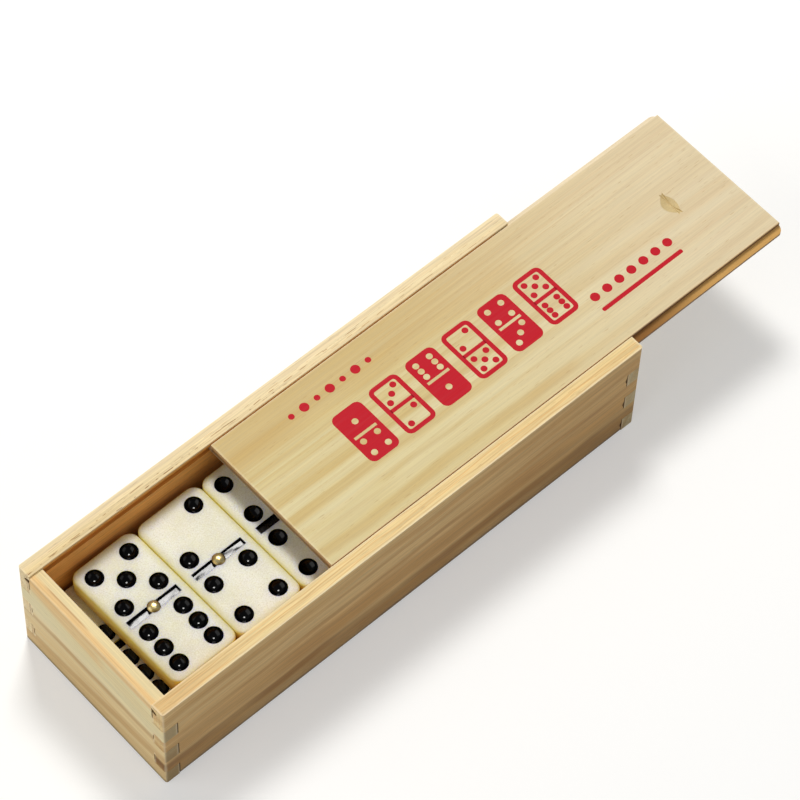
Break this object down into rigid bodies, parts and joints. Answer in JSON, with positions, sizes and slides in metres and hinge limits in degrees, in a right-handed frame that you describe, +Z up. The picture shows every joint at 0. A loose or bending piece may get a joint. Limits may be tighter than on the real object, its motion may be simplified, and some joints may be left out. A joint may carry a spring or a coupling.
{
  "type": "domino storage box",
  "caption": "Long pine box with finger-jointed corners and a sliding lid, drawn part-way out over flat rows of cream domino tiles with black pips and a domed brass rivet in each.",
  "frame": {"origin": "middle of the box's flat underside, halfway between its end walls and its long walls", "axes": "+X along the box towards the end where the lid slides out, +Y towards the back wall, +Z up"},
  "size_m": [0.2485, 0.064, 0.042],
  "materials": {
    "long_wall_pine": "sanded, clear satin",
    "end_wall_pine": "sanded, clear satin",
    "lid_pine": "sanded, clear satin",
    "panel_wood": "sanded, bare",
    "tile_cream": "polished",
    "rivet_brass": "polished",
    "black_lacquer": "gloss"
  },
  "bodies": {
    "case": {"front_wall": "long_wall_pine", "back_wall": "long_wall_pine", "near_end_wall": "end_wall_pine", "far_end_wall": "end_wall_pine", "bottom_panel": "panel_wood", "tile_0_0": "tile_cream", "tile_0_1": "tile_cream", "tile_0_2": "tile_cream", "tile_0_3": "tile_cream", "tile_0_4": "tile_cream", "tile_0_5": "tile_cream", "tile_0_6": "tile_cream", "tile_1_1": "tile_cream", "tile_1_2": "tile_cream", "tile_1_3": "tile_cream", "tile_1_4": "tile_cream", "tile_1_5": "tile_cream", "tile_1_6": "tile_cream", "tile_2_2": "tile_cream", "tile_2_6": "tile_cream", "tile_2_3": "tile_cream", "tile_2_5": "tile_cream", "tile_3_3": "tile_cream", "tile_3_4": "tile_cream", "tile_3_5": "tile_cream", "tile_3_6": "tile_cream", "tile_5_6": "tile_cream", "tile_2_4": "tile_cream", "tile_4_4": "tile_cream", "tile_4_5": "tile_cream", "tile_4_6": "tile_cream", "tile_5_5": "tile_cream", "tile_6_6": "tile_cream", "rivets_row_1": "rivet_brass", "rivets_row_2": "rivet_brass", "rivets_row_3": "rivet_brass", "rivets_row_4": "rivet_brass", "lacquer_row_1": "black_lacquer", "lacquer_row_2": "black_lacquer", "lacquer_row_3": "black_lacquer", "lacquer_row_4": "black_lacquer"},
    "lid": {"lid": "lid_pine"}
  },
  "joints": [
    {"name": "lid_slide", "type": "slide", "parent": "case", "child": "lid", "axis": [1, 0, 0], "range_m": [-0.0625, 0.1005]}
  ]
}
